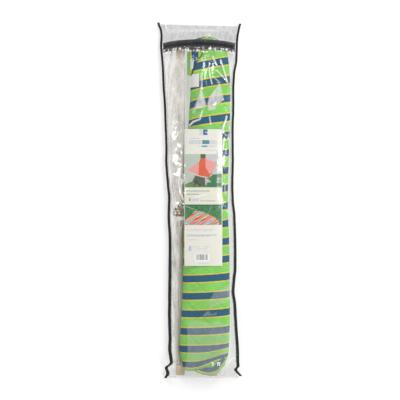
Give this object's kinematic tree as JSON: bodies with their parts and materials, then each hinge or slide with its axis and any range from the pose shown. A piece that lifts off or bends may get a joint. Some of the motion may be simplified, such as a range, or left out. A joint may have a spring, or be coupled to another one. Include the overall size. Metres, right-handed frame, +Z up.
{
  "type": "packaged rope hammock",
  "caption": "Rolled striped quilted hammock bed with wooden spreader bars and rope harness, packed in a long clear zip bag with an insert card.",
  "frame": {"origin": "middle of the pack's outline, on its flat underside", "axes": "+Z up through the pack as it lies on its back, +Y along it towards the zip end, +X across it to the right seen from above with the zip end away"},
  "size_m": [0.358, 1.52, 0.13],
  "materials": {
    "film": "gloss",
    "webbing": "matte",
    "zip_teeth": "satin",
    "zip_metal": "satin",
    "card": "satin",
    "label": "satin",
    "bed_cloth": "matte",
    "wood": "satin",
    "steel": "polished",
    "rope": "matte"
  },
  "bodies": {
    "pack": {"bag_film": "film", "binding_left": "webbing", "binding_right": "webbing", "zip_tape_upper": "webbing", "zip_tape_lower": "webbing", "zip_teeth_upper": "zip_teeth", "zip_teeth_lower": "zip_teeth", "zip_stop_left": "zip_metal", "zip_stop_right": "zip_metal", "care_label": "label", "hammock_bed": "bed_cloth", "bed_corner_flap": "bed_cloth", "bed_end_flap": "bed_cloth", "spreader_bar_outer": "wood", "spreader_bar_inner": "wood", "harness_ring_outer": "steel", "harness_ring_inner": "steel", "harness_cord_upper_1": "rope", "harness_cord_upper_2": "rope", "harness_cord_upper_3": "rope", "harness_cord_upper_4": "rope", "harness_cord_lower_1": "rope", "harness_cord_lower_2": "rope", "harness_cord_lower_3": "rope", "harness_cord_lower_4": "rope", "outer_hank_upper": "rope", "outer_hank_lower": "rope", "inner_cords_upper": "rope", "inner_cords_lower": "rope"},
    "slider": {"zip_slider": "zip_metal"},
    "pull": {"zip_pull": "zip_metal"},
    "card": {"insert_card": "card"}
  },
  "joints": [
    {"name": "slider_travel", "type": "hinge", "parent": "pack", "child": "slider", "pos_m": [-0.0045, 0.64137, -0.10508], "axis": [0, 0.9969, -0.0785], "range_deg": [-82.5, 0]},
    {"name": "pull_flip", "type": "hinge", "parent": "slider", "child": "pull", "pos_m": [0.1344, 0.6537, 0.05167], "axis": [0, 0.9969, -0.0785], "range_deg": [0, 170]},
    {"name": "card_slide", "type": "slide", "parent": "pack", "child": "card", "axis": [0, 1, 0], "range_m": [-0.015, 0.015]}
  ]
}
